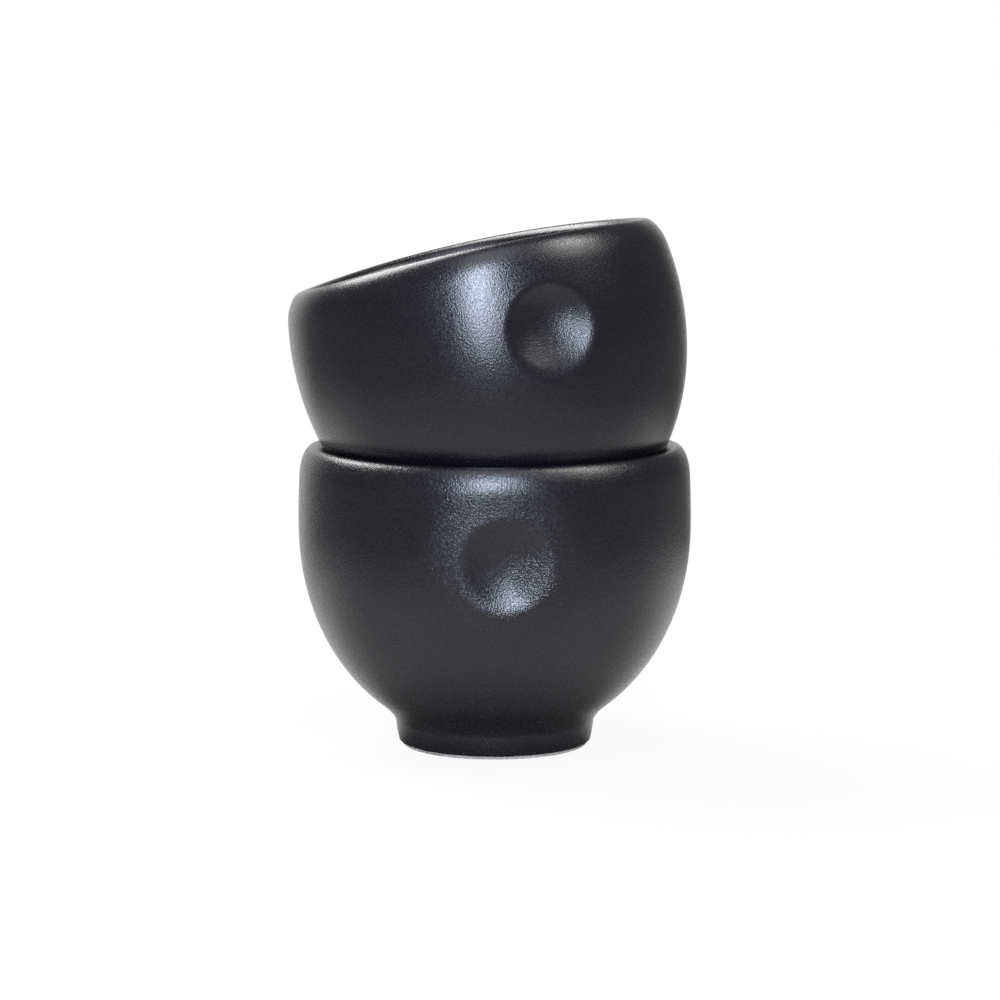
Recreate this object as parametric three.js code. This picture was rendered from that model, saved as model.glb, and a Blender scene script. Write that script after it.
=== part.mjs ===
// A stacked pair of stoneware espresso cups, each with a thumb dimple pressed into its wall.
// Millimetres, +Z up. The lower cup stands on its foot ring, and the upper cup lies tilted
// in the lower one's mouth. Each cup is a fired clay body under a coat of glaze, which stops
// just above the table and leaves the foot bare.

import * as THREE from "three";
import { mergeVertices } from "three/addons/utils/BufferGeometryUtils.js";

// Heights of a cup, from the table up.
const footHeight = 4.4;
const footToBelly = 39.2;
const bellyToRim = 14.4;

// The foot, turned hollow underneath.
const footRadius = 18.4;
const footFlare = 0.95;
const footRingWidth = 4.2;
const footEdgeRound = 0.5;
const recessDepth = 2.5;
const recessDraft = 1.2;

// The bowl. The heel is where its curve would meet the top of the foot.
const bellyRadius = 38;
const heelRadius = 18.1;
const heelSoftness = 3;
const bowlFullness = 2.1;
const floorThickness = 5.2;
const wallThickness = 5;
const hollowFullness = 2.3;

// The lip, drawn in a little from the belly and rounded over.
const lipInset = 1.2;
const lipCrestShare = 0.44;
const lipOuterDrop = 5.2;
const lipInnerDrop = 2;

// The dimple, and the soft swelling that it leaves inside.
const dimpleRadius = 8.3;
const dimpleDepth = 2.6;
const dimpleEdge = 0.8;
const dimpleDrop = 17.6;
const swellingSpread = 4;
const swellingShare = 0.7;
const swellingEdge = 1.6;

// The glaze.
const glazeThickness = 0.35;
const bareFootHeight = 0.9;

// Each cup is made by hand, so it strays this far from the sizes above.
const lowerHeelStray = -2;
const lowerLipStray = -0.6;
const lowerDimpleStray = 0.9;
const lowerDepthStray = -0.5;
const lowerRimSaddle = 0.3;

const upperHeelStray = 1.6;
const upperLipStray = 0.7;
const upperDimpleStray = -0.7;
const upperDepthStray = 0.5;
const upperRimSaddle = -1.25;

// How each cup is turned, and how the upper one lies in the mouth of the lower one.
const lowerDimpleTurn = -86.7;
const upperDimpleTurn = -71;
const tiltAngle = 12.2;
const tiltTurn = 175.5;
const mouthGap = 0.3;

// Spacing of the facets. They lie in close rings round the dimple and wide apart elsewhere.
const wideStep = 7.5;
const heelStep = 1.7;
const ringStep = 2.6;
const ringMargin = 3.5;
const wideTurn = 11;
const lipSteps = 3;
const hollowSteps = 6;
const slopeStep = 0.01;

const glazeBlack = new THREE.MeshStandardMaterial({ color: 0x2a2b2f, roughness: 0.38, metalness: 0 });
const bareClay = new THREE.MeshStandardMaterial({ color: 0xb9b4ab, roughness: 0.85, metalness: 0 });

const bellyHeight = footHeight + footToBelly;
const rimHeight = bellyHeight + bellyToRim;
const floorHeight = recessDepth + floorThickness;
const heelTop = footHeight + heelSoftness;
const lipFoot = rimHeight - lipOuterDrop;

const lowerCup = {
  heelRadius: heelRadius + lowerHeelStray,
  lipInset: lipInset + lowerLipStray,
  dimpleHeight: rimHeight - dimpleDrop - lowerDimpleStray,
  dimpleDepth: dimpleDepth + lowerDepthStray,
  dimpleTurn: THREE.MathUtils.degToRad(lowerDimpleTurn),
  rimSaddle: lowerRimSaddle,
};

const upperCup = {
  heelRadius: heelRadius + upperHeelStray,
  lipInset: lipInset + upperLipStray,
  dimpleHeight: rimHeight - dimpleDrop - upperDimpleStray,
  dimpleDepth: dimpleDepth + upperDepthStray,
  dimpleTurn: THREE.MathUtils.degToRad(upperDimpleTurn),
  rimSaddle: upperRimSaddle,
};

// The larger of two values, with the corner between them rounded over the given width.
function softMax(a, b, width) {
  const overlap = Math.max(width - Math.abs(a - b), 0);
  return Math.max(a, b) + (overlap * overlap) / (4 * width);
}

// Values after `from`, evenly spaced up to `to`, at most `step` apart.
function divide(from, to, step) {
  const count = Math.ceil((to - from) / step);
  return Array.from({ length: count }, (_, i) => from + ((to - from) * (i + 1)) / count);
}

// How far the wall above the belly has drawn in at a height.
function shoulderDraw(cup, z) {
  const share = Math.max(z - bellyHeight, 0) / bellyToRim;
  return cup.lipInset * share * share;
}

// Radius of the outside at a height: the flared foot, blended into a nearly elliptical bowl.
function outerRadius(cup, z) {
  const foot = footRadius + footFlare * Math.min(z / footHeight, 1);
  const heelShare = cup.heelRadius / bellyRadius;
  const bowlDepth = footToBelly / (1 - heelShare ** bowlFullness) ** (1 / bowlFullness);
  const below = Math.min(Math.max(bellyHeight - z, 0) / bowlDepth, 1);
  const bowl = bellyRadius * (1 - below ** bowlFullness) ** (1 / bowlFullness) - shoulderDraw(cup, z);
  return softMax(foot, bowl, heelSoftness);
}

// Radius of the hollow at a height, a little fuller than an ellipse, `depth` inside the glaze.
function hollowRadius(cup, z, depth) {
  const below = Math.max(bellyHeight - z, 0) / (bellyHeight - floorHeight + depth);
  const full = Math.max(1 - below ** hollowFullness, 0) ** (1 / hollowFullness);
  return (bellyRadius - wallThickness + depth) * full - shoulderDraw(cup, z);
}

// Point of the outer wall's outline at a height, `depth` inside the face of the glaze.
function wallAt(cup, z, depth) {
  const rise = outerRadius(cup, z + slopeStep) - outerRadius(cup, z - slopeStep);
  const inward = new THREE.Vector2(-2 * slopeStep, rise).normalize();
  return new THREE.Vector2(outerRadius(cup, z), z).addScaledVector(inward, depth);
}

// Radii of the rings of facets on and round the dimple. Two of them hold its rounded edge,
// where its slope runs out into the wall.
function dimpleRings(cup) {
  const edgeReach = (dimpleEdge * dimpleRadius) / (2 * cup.dimpleDepth);
  const edgeOuter = dimpleRadius + edgeReach;
  const room = Math.min(lipFoot - cup.dimpleHeight, cup.dimpleHeight - heelTop) - edgeOuter;
  const last = edgeOuter + Math.min(ringMargin, room);
  return [...divide(0, dimpleRadius - edgeReach, ringStep), edgeOuter, last];
}

// The same distance to both sides of a middle, in rising order.
function bothSides(middle, distances) {
  const before = distances.map((distance) => middle - distance).reverse();
  return [...before, middle, ...distances.map((distance) => middle + distance)];
}

// Rows of the cup's surface, `depth` inside the face of the glaze: from the glaze's edge at the
// foot, up the outside, over the lip and down the hollow to the middle of the floor.
function glazedRows(cup, depth) {
  const rings = dimpleRings(cup);
  const patch = bothSides(cup.dimpleHeight, rings);
  const heights = [
    bareFootHeight,
    ...divide(bareFootHeight, heelTop, heelStep),
    ...divide(heelTop, patch[0], wideStep),
    ...patch.slice(1),
    ...divide(patch.at(-1), lipFoot, wideStep),
  ];
  const wall = heights.map((height) => ({ height, at: (z) => wallAt(cup, z, depth), outside: true }));

  // The lip leans in as the wall below it does, from its foot to its crest.
  const lipWidth = wallThickness * lipCrestShare;
  const lipBase = outerRadius(cup, lipFoot) + shoulderDraw(cup, lipFoot) - lipWidth;
  const outerLip = divide(0, Math.PI / 2, Math.PI / 2 / lipSteps).map((turn) => {
    const out = (lipWidth - depth) * Math.cos(turn);
    const z = lipFoot + (lipOuterDrop - depth) * Math.sin(turn);
    return { at: () => new THREE.Vector2(lipBase + out - shoulderDraw(cup, z), z), outside: true };
  });

  const crest = lipBase - shoulderDraw(cup, rimHeight - depth);
  const hollowTop = rimHeight - lipInnerDrop;
  const lipReach = crest - hollowRadius(cup, hollowTop, depth);
  const innerLip = divide(0, Math.PI / 2, Math.PI / 2 / (lipSteps - 1)).map((turn) => {
    const up = (lipInnerDrop - depth) * Math.cos(turn);
    return { at: () => new THREE.Vector2(crest - lipReach * Math.sin(turn), hollowTop + up), outside: false };
  });

  const hollow = divide(0, Math.PI / 2, Math.PI / 2 / hollowSteps).map((turn, i) => {
    const z = hollowTop - (hollowTop - floorHeight + depth) * Math.sin(turn);
    const radius = i === hollowSteps - 1 ? 0 : hollowRadius(cup, z, depth);
    return { at: () => new THREE.Vector2(radius, z), outside: false };
  });
  return [...wall, ...outerLip, ...innerLip, ...hollow];
}

// Rows of the bare clay, from the middle of the recess, round the foot ring and up to the glaze.
function bareRows() {
  const ringOuter = footRadius - glazeThickness;
  const ringInner = ringOuter - footRingWidth;
  return [
    [0, recessDepth],
    [ringInner - recessDraft, recessDepth],
    [ringInner, footEdgeRound],
    [ringInner + footEdgeRound, 0],
    [ringOuter - footEdgeRound, 0],
    [ringOuter, footEdgeRound],
  ].map(([radius, z]) => ({ at: () => new THREE.Vector2(radius, z), outside: true }));
}

// How far the wall is pushed towards the axis, at a distance from the dimple's centre.
function pressed(cup, distance, outside) {
  const radius = outside ? dimpleRadius : dimpleRadius + swellingSpread;
  const depth = outside ? cup.dimpleDepth : cup.dimpleDepth * swellingShare;
  const edge = outside ? dimpleEdge : swellingEdge;
  const share = distance / radius;
  return softMax(depth * (1 - share * share), 0, edge);
}

// Draws the square rings of the facets round the dimple into circles, which loosen into
// squares again at the last ring. `aside` and `above` are measured along the wall.
function drawnRound(cup, aside, above) {
  const [edge, last] = dimpleRings(cup).slice(-2);
  const ring = Math.max(Math.abs(aside), Math.abs(above));
  const span = Math.hypot(aside, above);
  const loosened = THREE.MathUtils.clamp((ring - edge) / (last - edge), 0, 1);
  const draw = span > 0 ? THREE.MathUtils.lerp(ring / span, 1, loosened) : 1;
  return [aside * draw, above * draw];
}

// Height of a point of the cup, with the rim's slight saddle worked in towards the top.
function wavedHeight(cup, { x: radius, y: z }, angle) {
  const wave = cup.rimSaddle * (radius / bellyRadius) ** 2 * Math.cos(2 * angle);
  return z + wave * (z / rimHeight) ** 2;
}

// A point of the cup, on a row and at a turn from the dimple, pressed in where the dimple is.
function cupPoint(cup, row, turn) {
  let aside = bellyRadius * turn;
  let at = row.at(row.height);
  if (row.height !== undefined) {
    const above = row.height - cup.dimpleHeight;
    const drawn = drawnRound(cup, aside, above);
    aside = drawn[0];
    at = row.at(cup.dimpleHeight + drawn[1]);
  }
  const distance = Math.hypot(aside, at.y - cup.dimpleHeight);
  const radius = at.x === 0 ? 0 : at.x - pressed(cup, distance, row.outside);
  const angle = cup.dimpleTurn + aside / bellyRadius;
  return new THREE.Vector3(radius * Math.cos(angle), radius * Math.sin(angle), wavedHeight(cup, at, angle));
}

// The columns of the cup's surface, as turns from the dimple.
function cupTurns(cup) {
  const rings = dimpleRings(cup).map((ring) => ring / bellyRadius);
  const patch = bothSides(0, rings);
  const back = divide(patch.at(-1), 2 * Math.PI + patch[0], THREE.MathUtils.degToRad(wideTurn));
  return [...patch, ...back.slice(0, -1).map((turn) => (turn > Math.PI ? turn - 2 * Math.PI : turn))];
}

// A sheet turned from rows, as the corners of its triangles. It faces out where the rows
// climb the outside, and the other way if it is reversed.
function turnedSheet(cup, rows, reversed = false) {
  const turns = cupTurns(cup);
  const points = rows.map((row) => turns.map((turn) => cupPoint(cup, row, turn)));
  return rows.slice(1).flatMap((high, i) => {
    const low = rows[i];
    return turns.flatMap((_, column) => {
      const next = (column + 1) % turns.length;
      const [a, b] = [points[i][column], points[i][next]];
      const [d, c] = [points[i + 1][column], points[i + 1][next]];
      const lower = low.at(low.height).x === 0 ? [] : [a, b, c];
      const upper = high.at(high.height).x === 0 ? [] : [a, c, d];
      return reversed ? [...lower.reverse(), ...upper.reverse()] : [...lower, ...upper];
    });
  });
}

// Sheets that meet along their edges, joined into one closed solid.
function closedSolid(...sheets) {
  const geometry = new THREE.BufferGeometry().setFromPoints(sheets.flat());
  const solid = mergeVertices(geometry);
  solid.computeVertexNormals();
  return solid;
}

// One cup: the clay body, and the coat of glaze that lies on it face to face.
function makeCup(cup, name) {
  const glazed = glazedRows(cup, 0);
  const covered = glazedRows(cup, glazeThickness);
  const clay = closedSolid(
    turnedSheet(cup, [...bareRows(), covered[0]]),
    turnedSheet(cup, covered),
  );
  const coat = closedSolid(
    turnedSheet(cup, glazed),
    turnedSheet(cup, covered, true),
    turnedSheet(cup, [covered[0], glazed[0]]),
  );

  const body = new THREE.Mesh(clay, bareClay);
  body.name = `${name}_clay_body`;
  const glaze = new THREE.Mesh(coat, glazeBlack);
  glaze.name = `${name}_glaze_coat`;

  const group = new THREE.Group();
  group.add(body, glaze);
  return group;
}

// Height of a cup's surface, seen from straight above, at a point of the table's plane.
function heightFromAbove(cup, outline, x, y) {
  const radius = Math.hypot(x, y);
  const heights = outline.slice(1).map((after, i) => {
    const before = outline[i];
    const share = (radius - before.x) / (after.x - before.x);
    return share >= 0 && share <= 1 ? THREE.MathUtils.lerp(before.y, after.y, share) : 0;
  });
  const highest = new THREE.Vector2(radius, Math.max(...heights));
  return wavedHeight(cup, highest, Math.atan2(y, x));
}

// Where the upper cup comes to rest. It leans towards `tiltTurn` and slides the other way,
// to where it can sink no deeper into the mouth below without coming closer than the gap.
function restOfUpperCup() {
  const towards = THREE.MathUtils.degToRad(tiltTurn);
  const leanTo = new THREE.Vector3(Math.cos(towards), Math.sin(towards), 0);
  const hinge = new THREE.Vector3(0, 0, 1).cross(leanTo);
  const lean = new THREE.Quaternion().setFromAxisAngle(hinge, THREE.MathUtils.degToRad(tiltAngle));

  const side = [0, ...divide(0, bellyHeight, 1)].map((z) => {
    const clear = wallAt(upperCup, z, -mouthGap);
    return { at: () => clear, outside: true };
  });
  const skin = side.flatMap((row) =>
    cupTurns(upperCup).map((turn) => cupPoint(upperCup, row, turn).applyQuaternion(lean)),
  );
  const below = glazedRows(lowerCup, 0).map((row) => row.at(row.height));
  const liftAt = (slide) =>
    skin.reduce((lift, { x, y, z }) => {
      const height = heightFromAbove(lowerCup, below, x - slide * leanTo.x, y - slide * leanTo.y);
      return Math.max(lift, height - z);
    }, 0);

  let [near, far] = [0, bellyRadius];
  while (far - near > slopeStep) {
    const third = (far - near) / 3;
    if (liftAt(near + third) < liftAt(far - third)) far -= third;
    else near += third;
  }
  const slide = (near + far) / 2;
  return { lean, place: new THREE.Vector3(-slide * leanTo.x, -slide * leanTo.y, liftAt(slide)) };
}

const stack = new THREE.Group();
const lower = makeCup(lowerCup, "lower_cup");
const upper = makeCup(upperCup, "upper_cup");
const rest = restOfUpperCup();
upper.quaternion.copy(rest.lean);
upper.position.copy(rest.place);
stack.add(lower, upper);

// The origin lies on the table, under the middle of the stack.
const middle = new THREE.Box3().setFromObject(stack, true).getCenter(new THREE.Vector3());
stack.position.set(-middle.x, -middle.y, 0);

export default stack;
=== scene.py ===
# A stacked pair of black stoneware espresso cups, dressed round its CAD frame.
# Metres, +Z up. Each cup is turned from its rows by Geometry Nodes and then laid in place.

from math import cos, pi, radians, sin

import bpy
from mathutils import Euler, Matrix, Vector


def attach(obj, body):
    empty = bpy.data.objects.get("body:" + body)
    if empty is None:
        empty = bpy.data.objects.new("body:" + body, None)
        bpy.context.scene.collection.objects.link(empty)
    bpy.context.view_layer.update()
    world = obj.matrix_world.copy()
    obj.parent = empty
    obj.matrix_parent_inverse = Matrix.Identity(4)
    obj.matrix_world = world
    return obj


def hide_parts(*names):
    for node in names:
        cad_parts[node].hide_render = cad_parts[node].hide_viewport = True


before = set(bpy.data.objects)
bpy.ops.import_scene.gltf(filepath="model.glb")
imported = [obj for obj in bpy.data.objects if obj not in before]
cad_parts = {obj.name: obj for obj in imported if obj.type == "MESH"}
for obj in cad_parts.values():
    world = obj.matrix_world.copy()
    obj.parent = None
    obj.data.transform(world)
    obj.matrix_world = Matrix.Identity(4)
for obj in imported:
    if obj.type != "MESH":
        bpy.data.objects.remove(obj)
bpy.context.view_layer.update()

mm = 0.001
print("Loaded the frame:", ", ".join(sorted(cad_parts)))


# Node maths written as Python expressions.

class Wire:
    # A socket in a tree. Arithmetic on it adds Math nodes.
    def __init__(self, graph, socket):
        self.graph = graph
        self.socket = socket

    def math(self, operation, *values):
        return self.graph.node("ShaderNodeMath", {"operation": operation}, dict(enumerate(values))).out()

    def __add__(self, other):
        return self.math("ADD", self, other)

    def __radd__(self, other):
        return self.math("ADD", other, self)

    def __sub__(self, other):
        return self.math("SUBTRACT", self, other)

    def __rsub__(self, other):
        return self.math("SUBTRACT", other, self)

    def __mul__(self, other):
        return self.math("MULTIPLY", self, other)

    def __rmul__(self, other):
        return self.math("MULTIPLY", other, self)

    def __truediv__(self, other):
        return self.math("DIVIDE", self, other)

    def __rtruediv__(self, other):
        return self.math("DIVIDE", other, self)

    def __pow__(self, other):
        return self.math("POWER", self, other)

    def __abs__(self):
        return self.math("ABSOLUTE", self)

    def sine(self):
        return self.math("SINE", self)

    def cosine(self):
        return self.math("COSINE", self)

    def root(self):
        return self.math("SQRT", self)

    def atLeast(self, other):
        return self.math("MAXIMUM", self, other)

    def atMost(self, other):
        return self.math("MINIMUM", self, other)

    def smooth(self, low, high):
        # 0 at `low`, 1 at `high`, with an eased slope between them
        sockets = {"Value": self, "From Min": low, "From Max": high}
        return self.graph.node("ShaderNodeMapRange", {"interpolation_type": "SMOOTHSTEP"}, sockets).out()


class MadeNode:
    # A node just added. `out` gives one of its outputs as a Wire.
    def __init__(self, graph, node):
        self.graph = graph
        self.node = node

    def out(self, name=0):
        return Wire(self.graph, self.node.outputs[name])


class Graph:
    # A node tree that is filled in by code.
    def __init__(self, tree):
        self.tree = tree

    def node(self, kind, settings=None, sockets=None):
        made = self.tree.nodes.new(kind)
        for name, value in (settings or {}).items():
            setattr(made, name, value)
        for name, value in (sockets or {}).items():
            for one in value if isinstance(value, list) else [value]:
                if isinstance(one, Wire):
                    self.tree.links.new(one.socket, made.inputs[name])
                else:
                    made.inputs[name].default_value = one
        return MadeNode(self, made)

    def vector(self, x, y, z):
        return self.node("ShaderNodeCombineXYZ", None, {"X": x, "Y": y, "Z": z}).out()


# Sizes shared by both cups. A height is measured from the bottom of the foot.

cup = {
    "Foot Height": 4.4 * mm,
    "Belly Height": 43.6 * mm,
    "Rim Height": 57.97 * mm,       # a hair under the solid's, so that the lip stays in its box
    "Floor Height": 7.7 * mm,
    "Foot Radius": 18.4 * mm,
    "Foot Flare": 0.95 * mm,
    "Heel Softness": 3 * mm,
    "Belly Radius": 38 * mm,
    "Bowl Fullness": 2.1,           # 2 gives an ellipse, and more a squarer bowl
    "Wall": 5 * mm,
    "Hollow Fullness": 2.3,
    "Lip Width": 2.2 * mm,
    "Lip Outer Drop": 5.2 * mm,
    "Lip Inner Drop": 2 * mm,
    "Dimple Radius": 8.3 * mm,
    "Dimple Edge": 0.8 * mm,
    "Dimple Margin": 3.5 * mm,      # the ring round the dimple in which the mesh turns square again
    "Swelling Radius": 12.3 * mm,
    "Swelling Share": 0.7,          # the swelling on the inside, as a share of the dimple's depth
    "Swelling Edge": 1.6 * mm,
    "Glaze": 0.35 * mm,
    "Glaze Line": 0.65 * mm,
    "Unevenness": 0.3 * mm,         # at the rim, and nothing at the foot
}

# What differs between the two, and where each one lies.
lowerCup = {
    "Heel Radius": 16.1 * mm,
    "Lip Inset": 0.6 * mm,
    "Dimple Height": 39.5 * mm,
    "Dimple Depth": 2.1 * mm,
    "Dimple Turn": radians(-86.7),
    "Dimple Lean": 0.0,         # how much deeper the thumb went in its upper half
    "Rim Saddle": 0.3 * mm,
    "Seed": 3.0,
}
lowerPlace = {"foot": (0.822 * mm, -0.091 * mm, 0), "tilt": 0, "tiltTurn": 0}

upperCup = {
    "Heel Radius": 19.7 * mm,
    "Lip Inset": 1.9 * mm,
    "Dimple Height": 41.1 * mm,
    "Dimple Depth": 3.1 * mm,
    "Dimple Turn": radians(-71),
    "Dimple Lean": 0.4,
    "Rim Saddle": -1.25 * mm,
    "Seed": 8.0,
}
upperPlace = {
    "foot": (8.405 * mm, -0.688 * mm, 38.919 * mm),
    "tilt": radians(12.2),
    "tiltTurn": radians(175.5),
}


def placeMatrix(place):
    across = Vector((-sin(place["tiltTurn"]), cos(place["tiltTurn"]), 0))
    return Matrix.Translation(place["foot"]) @ Matrix.Rotation(place["tilt"], 4, across)


# The turned surface.

mesh = {
    "columns": 300,
    "crowding": 0.5,        # how much closer the columns stand at the dimple
    "bead": 4,              # rows round the glaze's lower edge
    "wall": 150,
    "outerLip": 16,
    "innerLip": 12,
    "hollow": 60,
    "hiddenShare": 0.27,    # faces hidden between glaze and clay need fewer rows
    "weld": 0.002 * mm,
}
slopeStep = 0.01 * mm       # how far above and below a height the wall's slope is read
leastSpan = 0.01 * mm       # keeps the middle of the dimple from dividing by nothing
leastLean = 0.5             # the least share of its depth that a leaning dimple keeps
flareSoftness = 0.6         # the length over which the foot's flare ends, as a share of its height
unevenness = {
    "lumps": 1.4,           # in a radius of the cup
    "upright": 2,           # lumps are closer together up the wall than round it
    "detail": 2.0,
    "most": 1.0,            # the noise's highest value, so that a wall only ever draws in
}


def softMax(a, b, width):
    overlap = (width - abs(a - b)).atLeast(0)
    return a.atLeast(b) + overlap * overlap / (4 * width)


def lerp(a, b, share):
    return a + (b - a) * share


class TurnedCup:
    # Adds the spans of one cup's surface to a Geometry Nodes tree.
    def __init__(self, graph, size):
        self.graph = graph
        self.size = size
        place = graph.node("GeometryNodeInputPosition").out()
        parts = graph.node("ShaderNodeSeparateXYZ", None, {"Vector": place})
        around = parts.out("X") * (2 * pi)
        self.turn = around - around.sine() * mesh["crowding"]
        self.share = parts.out("Y") + 0.5

    def shoulderDraw(self, z):
        size = self.size
        share = (z - size["Belly Height"]).atLeast(0) / (size["Rim Height"] - size["Belly Height"])
        return size["Lip Inset"] * share * share

    def outerRadius(self, z):
        # the flared foot, blended into a nearly elliptical bowl
        size = self.size
        flared = 1 - softMax(1 - z / size["Foot Height"], 0, flareSoftness)
        foot = size["Foot Radius"] + size["Foot Flare"] * flared
        heelShare = size["Heel Radius"] / size["Belly Radius"]
        fullness = size["Bowl Fullness"]
        depth = (size["Belly Height"] - size["Foot Height"]) / (1 - heelShare ** fullness) ** (1 / fullness)
        below = ((size["Belly Height"] - z).atLeast(0) / depth).atMost(1)
        bowl = size["Belly Radius"] * (1 - below ** fullness) ** (1 / fullness) - self.shoulderDraw(z)
        return softMax(foot, bowl, size["Heel Softness"])

    def hollowRadius(self, z, depth):
        size = self.size
        below = (size["Belly Height"] - z).atLeast(0) / (size["Belly Height"] - size["Floor Height"] + depth)
        fullness = size["Hollow Fullness"]
        full = (1 - below ** fullness).atLeast(0) ** (1 / fullness)
        return (size["Belly Radius"] - size["Wall"] + depth) * full - self.shoulderDraw(z)

    def drawnRound(self, above):
        # square rings of the grid become circles on the dimple and loosen again round it
        size = self.size
        reach = size["Dimple Radius"]
        aside = size["Belly Radius"] * self.turn
        ring = abs(aside).atLeast(abs(above))
        span = (aside * aside + above * above).root().atLeast(leastSpan)
        edge = reach + size["Dimple Edge"] * reach / (2 * size["Dimple Depth"])
        room = size["Rim Height"] - size["Lip Outer Drop"] - size["Dimple Height"] - edge
        loosened = ((ring - edge) / room.atMost(size["Dimple Margin"])).atLeast(0).atMost(1)
        draw = lerp(ring / span, 1, loosened)
        return aside * draw, above * draw

    def span(self, rows, radius, z, inside=False, aside=None):
        # one strip of the surface, pressed in at the dimple and waved at the rim
        size = self.size
        if aside is None:
            aside = size["Belly Radius"] * self.turn
        above = z - size["Dimple Height"]
        distance = (aside * aside + above * above).root()
        reach = size["Swelling Radius" if inside else "Dimple Radius"]
        depth = size["Dimple Depth"] * size["Swelling Share"] if inside else size["Dimple Depth"]
        edge = size["Swelling Edge" if inside else "Dimple Edge"]
        share = distance / reach
        lean = (1 + size["Dimple Lean"] * above / reach).atLeast(leastLean)
        pressed = softMax(depth * (1 - share * share) * lean, 0, edge)

        angle = size["Dimple Turn"] + aside / size["Belly Radius"]
        east = angle.cosine()
        north = angle.sine()
        climb = z / size["Rim Height"]
        spread = radius / size["Belly Radius"]
        around = self.graph.vector(east, north, climb * unevenness["upright"])
        lumps = self.graph.node(
            "ShaderNodeTexNoise",
            {"noise_dimensions": "4D"},
            {
                "Vector": around,
                "W": size["Seed"],
                "Scale": unevenness["lumps"],
                "Detail": unevenness["detail"],
            },
        ).out()
        uneven = (lumps - unevenness["most"]) * size["Unevenness"] * climb
        out = radius - pressed + uneven * spread

        wave = size["Rim Saddle"] * spread * spread * (2 * angle).cosine()
        height = z + wave * climb * climb
        target = self.graph.vector(out * east, out * north, height)

        grid = self.graph.node(
            "GeometryNodeMeshGrid",
            None,
            {"Size X": 1.0, "Size Y": 1.0, "Vertices X": size["Columns"] + 1, "Vertices Y": rows + 1},
        ).out("Mesh")
        return self.graph.node("GeometryNodeSetPosition", None, {"Geometry": grid, "Position": target}).out()

    def wall(self, rows, low, high, depth, depthAtFoot=None):
        # the outside between two heights, `depth` inside the face of the glaze
        size = self.size
        z = lerp(low, high, self.share)
        aside, above = self.drawnRound(z - size["Dimple Height"])
        z = size["Dimple Height"] + above
        rise = self.outerRadius(z + slopeStep) - self.outerRadius(z - slopeStep)
        slope = rise / (2 * slopeStep)
        square = (1 + slope * slope).root()
        inset = depth
        if depthAtFoot is not None:
            # a quarter round, from the clay up to the full thickness
            inset = depthAtFoot * (1 - (1 - (1 - self.share) * (1 - self.share)).atLeast(0).root())
        radius = self.outerRadius(z) - inset / square
        return self.span(rows, radius, z + inset * slope / square, aside=aside)

    def skin(self, depth, shareOfRows=1, rounded=False):
        # the glazed surface from the foot to the middle of the floor, `depth` inside its face
        size = self.size
        lipFoot = size["Rim Height"] - size["Lip Outer Drop"]
        beadTop = size["Glaze Line"] + size["Glaze"]
        quarter = self.share * (pi / 2)

        # the lip leans in as the wall below it does, from its foot to its crest
        lipBase = self.outerRadius(lipFoot) + self.shoulderDraw(lipFoot) - size["Lip Width"]
        lipZ = lipFoot + (size["Lip Outer Drop"] - depth) * quarter.sine()
        crest = lipBase - self.shoulderDraw(size["Rim Height"] - depth)
        hollowTop = size["Rim Height"] - size["Lip Inner Drop"]
        lipReach = crest - self.hollowRadius(hollowTop, depth)
        hollowZ = hollowTop - (hollowTop - size["Floor Height"] + depth) * quarter.sine()
        spans = ("wall", "outerLip", "innerLip", "hollow")
        rows = {name: max(round(mesh[name] * shareOfRows), 1) for name in spans}
        return [
            self.wall(mesh["bead"], size["Glaze Line"], beadTop, depth, size["Glaze"] if rounded else None),
            self.wall(rows["wall"], beadTop, lipFoot, depth),
            self.span(
                rows["outerLip"],
                lipBase + (size["Lip Width"] - depth) * quarter.cosine() - self.shoulderDraw(lipZ),
                lipZ,
            ),
            self.span(
                rows["innerLip"],
                crest - lipReach * quarter.sine(),
                hollowTop + (size["Lip Inner Drop"] - depth) * quarter.cosine(),
                inside=True,
            ),
            self.span(rows["hollow"], self.hollowRadius(hollowZ, depth).atLeast(0), hollowZ, inside=True),
        ]


def cupTree(name, build):
    # a tree with the cup's sizes as its inputs, filled by `build` and welded into one closed mesh
    tree = bpy.data.node_groups.new(name, "GeometryNodeTree")
    tree.interface.new_socket(name="Geometry", in_out="OUTPUT", socket_type="NodeSocketGeometry")
    tree.interface.new_socket(name="Columns", in_out="INPUT", socket_type="NodeSocketInt")
    for label in {**cup, **lowerCup}:
        tree.interface.new_socket(name=label, in_out="INPUT", socket_type="NodeSocketFloat")
    tree.interface.new_socket(name="Material", in_out="INPUT", socket_type="NodeSocketMaterial")
    graph = Graph(tree)
    given = graph.node("NodeGroupInput")
    size = {label: given.out(label) for label in ["Columns", *cup, *lowerCup]}
    spans = build(graph, TurnedCup(graph, size), size)

    joined = graph.node("GeometryNodeJoinGeometry", None, {"Geometry": spans}).out()
    weld = {"Geometry": joined, "Distance": mesh["weld"]}
    welded = graph.node("GeometryNodeMergeByDistance", None, weld).out()
    smooth = graph.node("GeometryNodeSetShadeSmooth", None, {"Geometry": welded}).out()
    real = graph.node("GeometryNodeRealizeInstances", None, {"Geometry": smooth}).out()
    finish = {"Geometry": real, "Material": given.out("Material")}
    dressed = graph.node("GeometryNodeSetMaterial", None, finish).out()
    graph.node("NodeGroupOutput", None, {"Geometry": dressed})
    return tree


def flipped(graph, geometry):
    return graph.node("GeometryNodeFlipFaces", None, {"Mesh": geometry}).out()


def glazeSpans(graph, turned, size):
    # its face, and the side that lies on the clay
    face = turned.skin(0 * size["Glaze"], rounded=True)
    back = turned.skin(size["Glaze"], mesh["hiddenShare"])
    return face + [flipped(graph, span) for span in back]


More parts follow.
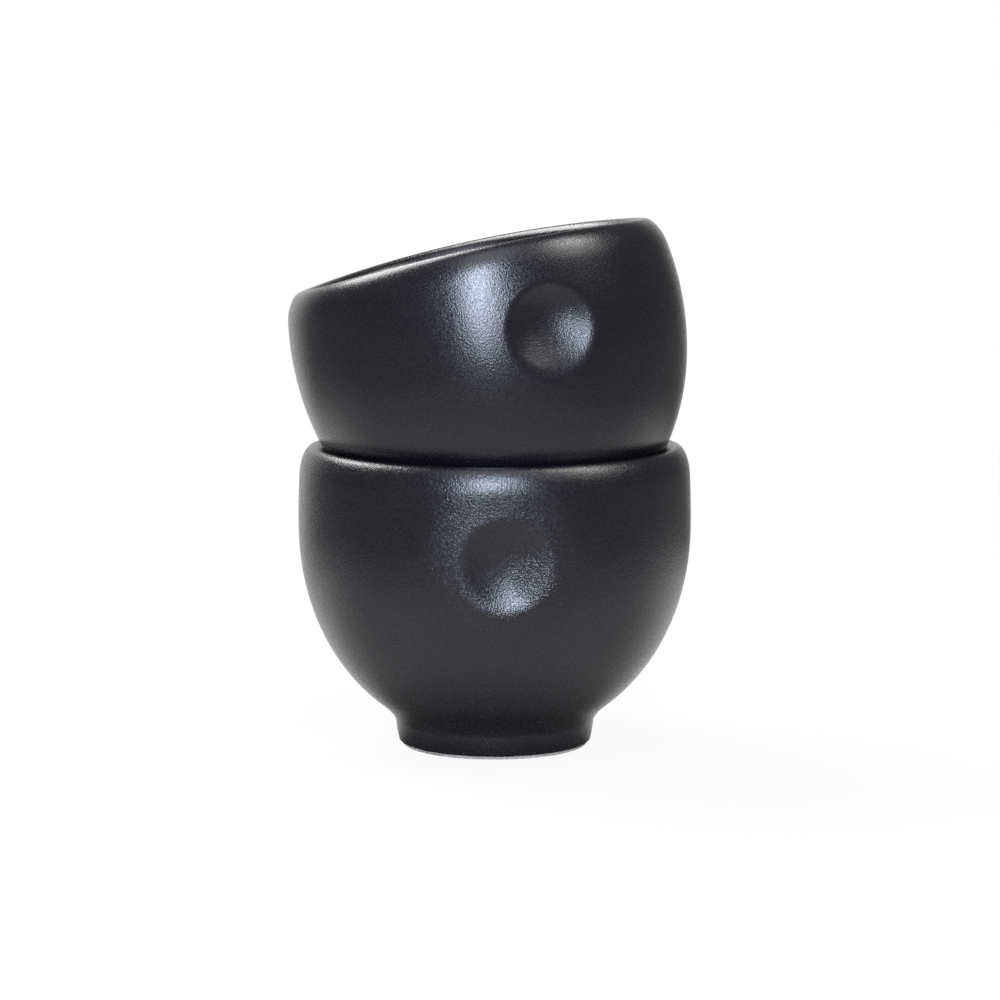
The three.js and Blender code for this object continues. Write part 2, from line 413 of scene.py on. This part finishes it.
foot = {
    "Ring Width": 4.2 * mm,
    "Edge Round": 0.5 * mm,
    "Recess Depth": 2.5 * mm,
    "Recess Draft": 1.2 * mm,
    "Recess Corner": 0.8 * mm,
    "discRows": 20,
    "roundRows": 6,
    "draftRows": 3,
    "bandRows": 2,
}


def claySpans(graph, turned, size):
    # the glazed part's clay, and the bare foot from the middle of the recess up to the glaze
    ringOuter = size["Foot Radius"] - size["Glaze"]
    ringInner = ringOuter - foot["Ring Width"]
    top = foot["Recess Depth"]
    edge = foot["Edge Round"]
    corner = foot["Recess Corner"]
    share = turned.share
    quarter = share * (pi / 2)
    back = ringInner - foot["Recess Draft"]
    draft = foot["Recess Draft"] / (top - edge)

    zero = 0 * share
    line = turned.outerRadius(size["Glaze Line"] + zero) - size["Glaze"]
    bare = [
        turned.span(foot["discRows"], (back - corner) * share, top + zero),
        turned.span(
            foot["roundRows"],
            back - corner + corner * quarter.sine() + draft * corner * (1 - quarter.cosine()),
            top - corner * (1 - quarter.cosine()),
        ),
        turned.span(
            foot["draftRows"], lerp(back + draft * corner, ringInner, share), lerp(top - corner, edge, share)
        ),
        turned.span(
            foot["roundRows"], ringInner + edge * (1 - quarter.cosine()), edge * (1 - quarter.sine())
        ),
        turned.span(foot["roundRows"], lerp(ringInner + edge, ringOuter - edge, share), zero),
        turned.span(
            foot["roundRows"], ringOuter - edge + edge * quarter.sine(), edge * (1 - quarter.cosine())
        ),
        turned.span(foot["bandRows"], lerp(ringOuter, line, share), lerp(edge, size["Glaze Line"], share)),
    ]
    return bare + turned.skin(size["Glaze"], mesh["hiddenShare"])


# Finishes.

def cupPosition(graph, place):
    # where a point lies on its own cup, upright and centred
    lean = placeMatrix(place).to_euler()
    spot = graph.node("ShaderNodeTexCoord").out("Object")
    own = {"Vector": spot, "Location": Vector(place["foot"]), "Rotation": Vector(lean)}
    return graph.node("ShaderNodeMapping", {"vector_type": "TEXTURE"}, own).out()


def noise(graph, position, size, detail, seed):
    # 0 to 1, with lumps about `size` across
    sockets = {"Vector": position, "W": seed, "Scale": 1 / size, "Detail": detail}
    return graph.node("ShaderNodeTexNoise", {"noise_dimensions": "4D"}, sockets).out()


def stretched(graph, position, across, up):
    # the position divided by a size along the table and another one up
    sockets = {0: position, 1: Vector((1 / across, 1 / across, 1 / up))}
    return graph.node("ShaderNodeVectorMath", {"operation": "MULTIPLY"}, sockets).out()


def mixed(graph, share, a, b):
    sockets = {"Factor": share, "A": a, "B": b}
    return graph.node("ShaderNodeMix", {"data_type": "RGBA"}, sockets).out("Result")


def bumped(graph, height, distance, normal=None):
    # the surface stands up by `height` times `distance`, on top of an earlier bump if there is one
    sockets = {"Height": height, "Distance": distance}
    if normal is not None:
        sockets["Normal"] = normal
    return graph.node("ShaderNodeBump", None, sockets).out()


glaze = {
    "thick": (0.0060, 0.0048, 0.0088, 1),
    "thin": (0.016, 0.015, 0.016, 1),
    "thinSpan": (0.45, 0.9),    # the patches in which the glaze thins, from least to most
    "thinShare": 0.3,           # how thin it gets there
    "ior": 1.78,
    "smooth": 0.24,
    "rough": 0.28,
    "roughSpan": (0.2, 0.8),    # the patches that turn it from smooth to rough
    "sparkle": 0.12,            # how much the roughness changes from speck to speck
    "speckSpan": (0.3, 0.7),
    "speck": (0.3 * mm, 0.0),   # here and below, the lumps' size and their detail
    "patch": (12 * mm, 3.0),
    "grain": (0.28 * mm, 1.0),
    "grainHeight": 0.043 * mm,
    "peel": (1.4 * mm, 2.0),
    "peelHeight": 0.02 * mm,
    "ripple": (9 * mm, 0.9 * mm),   # its length round the cup and its width up the wall
    "rippleDetail": 2.0,
    "rippleHeight": 0.03 * mm,
    "rippleTop": 10 * mm,       # how far it runs down from the rim
}

# The lower cup came out of the kiln coarser, with pits on the right of its dimple, and its wall
# gave way softly round the dimple. The upper one's glaze is pitted and duller in its dimple.
# A place is given on the cup as it stands upright.
coarse = {
    "lower_cup": {
        "grain": 1.8,
        "ripple": 1.0,
        "pits": 1.4,
        "pitSpot": (7.3 * mm, -35.5 * mm, 38 * mm),
        "pitReach": (2 * mm, 6 * mm),
        "dent": 0.65 * mm,
        "dimple": (2.2 * mm, -37.9 * mm, 39.5 * mm),
        "dimpleRough": 0,
    },
    "upper_cup": {
        "grain": 1.0,
        "ripple": 0.2,
        "pits": 1.3,
        "pitSpot": (12.4 * mm, -33.5 * mm, 42 * mm),
        "pitReach": (5 * mm, 8 * mm),
        "dent": 0,
        "dimple": (12.4 * mm, -35.9 * mm, 41.1 * mm),
        "dimpleRough": 0.05,
    },
}

# From the dimple's middle: where the wall that gave way and the duller glaze begin to end, and end.
dentReach = (7 * mm, 17 * mm)
dullReach = (7 * mm, 9 * mm)


def glazeMaterial(label, place, seed):
    look = coarse[label]
    material = bpy.data.materials.new(label + "_black_glaze")
    material.use_nodes = True
    material.node_tree.nodes.clear()
    graph = Graph(material.node_tree)
    spot = cupPosition(graph, place)
    height = graph.node("ShaderNodeSeparateXYZ", None, {"Vector": spot}).out("Z")

    def distance(centre):
        ends = {0: spot, 1: centre}
        return graph.node("ShaderNodeVectorMath", {"operation": "DISTANCE"}, ends).out("Value")

    patches = noise(graph, spot, *glaze["patch"], seed)
    grain = noise(graph, spot, *glaze["grain"], seed + 1)
    peel = noise(graph, spot, *glaze["peel"], seed + 2)
    ripple = noise(graph, stretched(graph, spot, *glaze["ripple"]), 1.0, glaze["rippleDetail"], seed + 3)
    nearRim = height.smooth(cup["Rim Height"] - glaze["rippleTop"], cup["Rim Height"])
    specks = noise(graph, spot, *glaze["speck"], seed + 4).smooth(*glaze["speckSpan"])
    pitted = 1 + look["pits"] * (1 - distance(look["pitSpot"]).smooth(*look["pitReach"]))
    fromDimple = distance(look["dimple"])

    roughness = lerp(glaze["smooth"], glaze["rough"], patches.smooth(*glaze["roughSpan"]))
    roughness = roughness + (specks - 0.5) * glaze["sparkle"]
    roughness = roughness + look["dimpleRough"] * (1 - fromDimple.smooth(*dullReach))
    thin = patches.smooth(*glaze["thinSpan"]) * glaze["thinShare"]
    colour = mixed(graph, thin, glaze["thick"], glaze["thin"])
    bumps = bumped(graph, fromDimple.smooth(*dentReach), look["dent"])
    bumps = bumped(graph, peel, glaze["peelHeight"], bumps)
    bumps = bumped(graph, ripple * nearRim, glaze["rippleHeight"] * look["ripple"], bumps)
    bumps = bumped(graph, grain * pitted, glaze["grainHeight"] * look["grain"], bumps)
    surface = graph.node(
        "ShaderNodeBsdfPrincipled",
        None,
        {
            "Base Color": colour,
            "Roughness": roughness,
            "IOR": glaze["ior"],
            "Normal": bumps,
        },
    ).out()
    graph.node("ShaderNodeOutputMaterial", None, {"Surface": surface})
    return material


clay = {
    "light": (0.78, 0.73, 0.65, 1),
    "dark": (0.50, 0.46, 0.40, 1),
    "darkSpan": (0.35, 0.9),        # the stains that turn it from light to dark
    "rough": (0.85, 0.95),
    "clouds": (6 * mm, 3.0),        # here and below, the lumps' size and their detail
    "grit": (0.5 * mm, 3.0),
    "gritHeight": 0.05 * mm,
    "stain": 0.6,                   # how much of the darker clay clouds and grit each bring
    "groove": 0.55 * mm,            # from one turning groove to the next
    "grooveHeight": 0.06 * mm,
    "wander": (4 * mm, 1.0),
    "wanderTurn": 3,                # how far a groove strays, in radians of its wave
}


def clayMaterial(label, place, seed):
    material = bpy.data.materials.new(label + "_bare_clay")
    material.use_nodes = True
    material.node_tree.nodes.clear()
    graph = Graph(material.node_tree)
    spot = cupPosition(graph, place)
    parts = graph.node("ShaderNodeSeparateXYZ", None, {"Vector": spot})
    radius = (parts.out("X") * parts.out("X") + parts.out("Y") * parts.out("Y")).root()

    grit = noise(graph, spot, *clay["grit"], seed)
    clouds = noise(graph, spot, *clay["clouds"], seed + 1)
    wander = noise(graph, spot, *clay["wander"], seed + 2)
    groove = (radius * (2 * pi / clay["groove"]) + wander * clay["wanderTurn"]).sine()

    dark = (clouds * clay["stain"] + grit * clay["stain"]).smooth(*clay["darkSpan"])
    colour = mixed(graph, dark, clay["light"], clay["dark"])
    bumps = bumped(graph, groove, clay["grooveHeight"])
    bumps = bumped(graph, grit, clay["gritHeight"], bumps)
    surface = graph.node(
        "ShaderNodeBsdfPrincipled",
        None,
        {"Base Color": colour, "Roughness": lerp(*clay["rough"], clouds), "Normal": bumps},
    ).out()
    graph.node("ShaderNodeOutputMaterial", None, {"Surface": surface})
    return material


# The four pieces.

glazeTree = cupTree("glazeCoat", glazeSpans)
clayTree = cupTree("clayBody", claySpans)


def turnedPiece(name, tree, sizes, place, material):
    # one closed mesh, made upright by the tree and then laid in its cup's place
    maker = bpy.data.objects.new(name + "_maker", bpy.data.meshes.new(name + "_start"))
    bpy.context.scene.collection.objects.link(maker)
    modifier = maker.modifiers.new("turned", "NODES")
    modifier.node_group = tree
    values = {"Columns": mesh["columns"], "Material": material, **cup, **sizes}
    for item in tree.interface.items_tree:
        if item.in_out == "INPUT":
            modifier[item.identifier] = values[item.name]

    bpy.context.view_layer.update()
    ready = maker.evaluated_get(bpy.context.evaluated_depsgraph_get())
    shape = bpy.data.meshes.new_from_object(ready)
    maker.modifiers.remove(modifier)
    bpy.data.objects.remove(maker)
    shape.name = name
    shape.transform(placeMatrix(place))
    piece = bpy.data.objects.new(name, shape)
    bpy.context.scene.collection.objects.link(piece)
    return piece


for label, sizes, place in (("lower_cup", lowerCup, lowerPlace), ("upper_cup", upperCup, upperPlace)):
    seed = sizes["Seed"]
    coat = turnedPiece(label + "_glaze", glazeTree, sizes, place, glazeMaterial(label, place, seed))
    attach(coat, label)
    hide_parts(label + "_glaze_coat")
    body = turnedPiece(label + "_clay", clayTree, sizes, place, clayMaterial(label, place, seed))
    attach(body, label)
    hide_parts(label + "_clay_body")
    faces = len(coat.data.polygons) + len(body.data.polygons)
    print("Turned the", label.replace("_", " "), "with", faces, "faces")


# The table, the light and the camera.

studio = {
    "floorSize": 12.0,
    "floorHeight": -0.02 * mm,  # just under the foot, so that the two faces don't coincide
    "floorFront": -0.48,        # the table ends here, on the camera's side
    "floorColour": (0.9, 0.9, 0.9, 1),
    "nearby": (0.1, 0.6),       # between these distances the floor turns from table into backdrop
    "tableWhite": 0.92,         # share of plain white in the table, seen directly
    "tableFront": (0.45, 0.18),  # the table's painted brightness in reflections, near and far, on this side
    "tableFade": (75 * mm, 250 * mm),
    "tableBehind": (-0.3, 0.7),  # where it turns white near the cups, as shares of the way to the back
    "tableShade": 0.2,          # a painted shadow under the heel: how much of its painted brightness is left there
    "tableShadeReach": (17 * mm, 44 * mm),
    "tableFar": (80 * mm, 300 * mm),
    "front": 0.12,              # the studio's brightness in reflections, on the camera's side
    "behind": (0.69, 0.99),     # where it turns white
    "behindTurn": radians(12),  # the white lies a little to the left
    "low": (0.25, 0.6),         # where it ends, as shares of the way up
    "fill": 0.1,                # the plain light from all round
}


def seenWhite(graph):
    # 1 for what is seen directly or through glass, and 1 for what is seen in a reflection
    path = graph.node("ShaderNodeLightPath")
    return path.out("Is Camera Ray").atLeast(path.out("Is Transmission Ray")), path.out("Is Glossy Ray")


def towardsBack(parts):
    # how far a vector points to the middle of the white behind the object
    return parts.out("Y") * cos(studio["behindTurn"]) - parts.out("X") * sin(studio["behindTurn"])


def makeFloor():
    half = studio["floorSize"] / 2
    front = studio["floorFront"]
    height = studio["floorHeight"]
    shape = bpy.data.meshes.new("table")
    corners = [(-half, front, height), (half, front, height), (half, half, height), (-half, half, height)]
    shape.from_pydata(corners, [], [(0, 1, 2, 3)])
    floor = bpy.data.objects.new("table", shape)
    bpy.context.scene.collection.objects.link(floor)

    material = bpy.data.materials.new("table_white")
    material.use_nodes = True
    material.node_tree.nodes.clear()
    graph = Graph(material.node_tree)
    direct, reflected = seenWhite(graph)
    spot = graph.node("ShaderNodeTexCoord").out("Object")
    reach = graph.node("ShaderNodeVectorMath", {"operation": "LENGTH"}, {0: spot}).out("Value")
    parts = graph.node("ShaderNodeSeparateXYZ", None, {"Vector": spot})
    # in reflections the table glows with painted light: dimmer in front, with a painted shadow round the
    # heel, and white behind
    paintedDimming = lerp(*studio["tableFront"], reach.smooth(*studio["tableFade"]))
    paintedDimming = paintedDimming * lerp(studio["tableShade"], 1, reach.smooth(*studio["tableShadeReach"]))
    near = (parts.out("Y") / reach).smooth(*studio["tableBehind"])
    far = (towardsBack(parts) / reach).smooth(*studio["behind"])
    white = lerp(near, far, reach.smooth(*studio["tableFar"]))
    brightness = lerp(paintedDimming, 1.0, white)

    plain = lerp(studio["tableWhite"], 1.0, reach.smooth(*studio["nearby"]))
    share = (direct * plain).atLeast(reflected)
    matt = graph.node("ShaderNodeBsdfDiffuse", None, {"Color": studio["floorColour"]}).out()
    glow = graph.node("ShaderNodeEmission", None, {"Color": lerp(brightness, 1.0, direct)}).out()
    surface = graph.node("ShaderNodeMixShader", None, {0: share, 1: matt, 2: glow}).out()
    graph.node("ShaderNodeOutputMaterial", None, {"Surface": surface})
    floor.data.materials.append(material)


def makeWorld():
    # in reflections the studio is white low behind the object, and dim above and in front of it
    world = bpy.data.worlds.new("studio")
    bpy.context.scene.world = world
    world.use_nodes = True
    world.node_tree.nodes.clear()
    graph = Graph(world.node_tree)
    direct, reflected = seenWhite(graph)
    ray = graph.node("ShaderNodeTexCoord").out("Generated")
    towards = graph.node("ShaderNodeSeparateXYZ", None, {"Vector": ray})
    white = towardsBack(towards).smooth(*studio["behind"]) * (1 - towards.out("Z").smooth(*studio["low"]))
    brightness = lerp(studio["front"], 1.0, white)
    colour = lerp(lerp(studio["fill"], brightness, reflected), 1.0, direct)
    background = graph.node("ShaderNodeBackground", None, {"Color": colour}).out()
    graph.node("ShaderNodeOutputWorld", None, {"Surface": background})


# Each lamp has its turn from the camera's side and its climb above the table, in degrees, and
# its distance and size in metres. Its glow is its brightness as a reflection shows it.
lamps = {
    "softbox": {
        "turn": -2,
        "climb": 18,
        "far": 0.66,
        "size": (0.178, 0.54),
        "glow": 16.2,
        "colour": (0.7, 0.8, 1.0),
    },
    "overhead": {
        "turn": -5,
        "climb": 58,
        "far": 1.1,
        "size": (0.6, 0.95),
        "glow": 1.3,
        "colour": (0.85, 0.9, 1.0),
    },
    "warmHigh": {
        "turn": 82,
        "climb": 58,
        "far": 1.2,
        "size": (0.42, 0.5),
        "glow": 4.4,
        "colour": (1.0, 0.98, 0.95),
    },
    "warmBroad": {
        "turn": 68,
        "climb": 45,
        "far": 1.2,
        "size": (0.7, 0.7),
        "glow": 1.9,
        "colour": (1.0, 0.97, 0.94),
    },
    "leftRear": {
        "turn": -130,
        "climb": 50,
        "far": 1.2,
        "size": (1.05, 0.8),
        "glow": 7,
        "colour": (1.0, 1.0, 1.0),
    },
}
lampTarget = Vector((0, 0, 55 * mm))


def makeLamp(name, look):
    turn = radians(look["turn"])
    climb = radians(look["climb"])
    wide, high = look["size"]
    towards = Vector((sin(turn) * cos(climb), -cos(turn) * cos(climb), sin(climb)))
    lamp = bpy.data.lights.new(name, "AREA")
    lamp.shape = "ELLIPSE"
    lamp.size = wide
    lamp.size_y = high
    lamp.energy = look["glow"] * pi * (pi / 4 * wide * high)
    lamp.color = look["colour"]
    holder = bpy.data.objects.new(name, lamp)
    holder.location = lampTarget + towards * look["far"]
    holder.rotation_euler = towards.to_track_quat("Z", "Y").to_euler()
    holder.visible_camera = False
    bpy.context.scene.collection.objects.link(holder)


view = {
    "spot": (1.85 * mm, -611.5 * mm, 122.9 * mm),
    "dip": radians(7.038),
    "focal": 114.76,
    "sensor": 36.0,
    "nearest": 0.01,
    "farthest": 30,
}


def makeCamera():
    camera = bpy.data.cameras.new("camera")
    camera.lens = view["focal"]
    camera.sensor_width = view["sensor"]
    camera.clip_start = view["nearest"]
    camera.clip_end = view["farthest"]
    holder = bpy.data.objects.new("camera", camera)
    holder.location = view["spot"]
    holder.rotation_euler = Euler((pi / 2 - view["dip"], 0, 0))
    bpy.context.scene.collection.objects.link(holder)
    bpy.context.scene.camera = holder


makeFloor()
makeWorld()
for name, look in lamps.items():
    makeLamp(name, look)
makeCamera()
bpy.context.scene.view_settings.view_transform = "Standard"
print("Set the table, the light and the camera")
